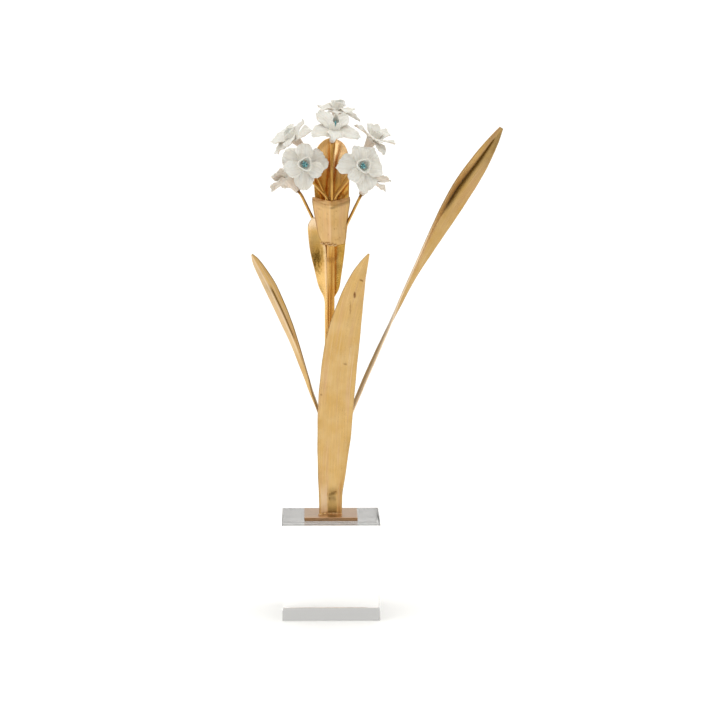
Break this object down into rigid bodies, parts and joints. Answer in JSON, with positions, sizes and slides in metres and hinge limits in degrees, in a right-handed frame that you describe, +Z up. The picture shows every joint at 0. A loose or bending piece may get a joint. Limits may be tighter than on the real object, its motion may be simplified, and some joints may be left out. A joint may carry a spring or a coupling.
{
  "type": "gilded paperwhite narcissus sculpture on a clear block",
  "caption": "Table sculpture of a flowering narcissus: gilt metal leaves, bracts and stem, porcelain blooms with turquoise centres, on a square plate and a clear cube base.",
  "frame": {"origin": "centre of the clear block's underside", "axes": "+Z up along the stem, +X to the right in the front view, toward the tall leaf's tip, and +Y to the back; the blooms and the front leaf face -Y"},
  "size_m": [0.2056, 0.08, 0.4211],
  "materials": {
    "clear_acrylic": "polished",
    "gilt_metal": "satin",
    "bisque_porcelain": "matte",
    "turquoise_glaze": "gloss"
  },
  "bodies": {
    "root": {"clear_block": "clear_acrylic", "base_plate": "gilt_metal", "stem": "gilt_metal", "leaf_front": "gilt_metal", "leaf_left": "gilt_metal", "leaf_right": "gilt_metal", "bract_back": "gilt_metal", "bract_left": "gilt_metal", "bract_front": "gilt_metal", "wire_top": "gilt_metal", "bloom_top": "bisque_porcelain", "centre_top": "turquoise_glaze", "wire_middle": "gilt_metal", "bloom_middle": "bisque_porcelain", "centre_middle": "turquoise_glaze", "wire_upper_left": "gilt_metal", "bloom_upper_left": "bisque_porcelain", "centre_upper_left": "turquoise_glaze", "wire_left_front": "gilt_metal", "bloom_left_front": "bisque_porcelain", "centre_left_front": "turquoise_glaze", "wire_lower_left": "gilt_metal", "bloom_lower_left": "bisque_porcelain", "centre_lower_left": "turquoise_glaze", "wire_upper_right": "gilt_metal", "bloom_upper_right": "bisque_porcelain", "centre_upper_right": "turquoise_glaze", "wire_right_front": "gilt_metal", "bloom_right_front": "bisque_porcelain", "centre_right_front": "turquoise_glaze", "wire_lower_right": "gilt_metal", "bloom_lower_right": "bisque_porcelain", "centre_lower_right": "turquoise_glaze"}
  },
  "joints": []
}
